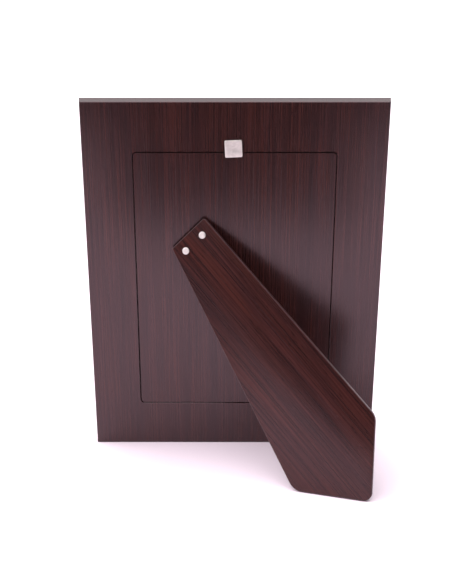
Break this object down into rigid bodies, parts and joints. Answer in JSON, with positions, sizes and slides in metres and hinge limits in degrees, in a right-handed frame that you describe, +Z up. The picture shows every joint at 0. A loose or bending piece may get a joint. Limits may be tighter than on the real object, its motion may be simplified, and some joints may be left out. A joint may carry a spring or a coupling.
{
  "type": "tabletop picture frame",
  "caption": "Rectangular tabletop picture frame with glazed window, removable back panel held by a turn button, and a diagonal hinged easel strut for standing upright or on its side.",
  "frame": {"origin": "middle of the bottom side, the flat face that the frame stands on in portrait", "axes": "+Z up, -Y the way the picture faces, +Y towards the strut; +X is on the picture's right-hand side as a viewer in front sees it"},
  "size_m": [0.1998, 0.1028, 0.248],
  "materials": {
    "wenge_laminate": "satin dark-brown wenge-grain laminate on hardboard",
    "wenge_veneer": "satin dark-brown wenge-grain wrap on fibreboard moulding",
    "strut_laminate": "satin dark-brown wenge-grain laminate, grain along the strut",
    "plated_steel": "satin nickel-plated pressed steel",
    "hinge_steel": "zinc-plated sheet steel",
    "rivet_aluminium": "plain set rivet heads",
    "fibre_washer": "black vulcanised fibre",
    "brass_ferrule": "turned brass",
    "float_glass": "clear polished float glass",
    "blank_print": "blank off-white photo card",
    "grey_board": "raw grey backing card",
    "black_card": "matt black card"
  },
  "bodies": {
    "frame": {"back_board": "wenge_laminate", "back_panel": "wenge_laminate", "backing_card": "grey_board", "corner_v_nails": "hinge_steel", "front_rail_bottom": "wenge_veneer", "front_rail_left": "wenge_veneer", "front_rail_right": "wenge_veneer", "front_rail_top": "wenge_veneer", "glass_pane": "float_glass", "hinge_panel_leaf": "hinge_steel", "hinge_pin": "hinge_steel", "panel_leaf_rivets": "rivet_aluminium", "panel_liner": "black_card", "photo_card": "blank_print", "turn_button_ferrule": "brass_ferrule", "turn_button_stud": "plated_steel", "turn_button_washer": "fibre_washer"},
    "strut": {"strut_board": "strut_laminate", "strut_rivets": "rivet_aluminium", "hinge_strut_leaf": "hinge_steel"},
    "turn_button": {"turn_button": "plated_steel"}
  },
  "joints": [
    {"name": "strut_hinge", "type": "hinge", "parent": "frame", "child": "strut", "pos_m": [0.04288, 0.02234, 0.14065], "axis": [-0.7071, 0.0862, 0.7018], "range_deg": [0, 26.2]},
    {"name": "turn_button_pivot", "type": "hinge", "parent": "frame", "child": "turn_button", "pos_m": [0.0009, 0.03133, 0.21825], "axis": [0, 0.9925, -0.1219], "continuous": true}
  ]
}
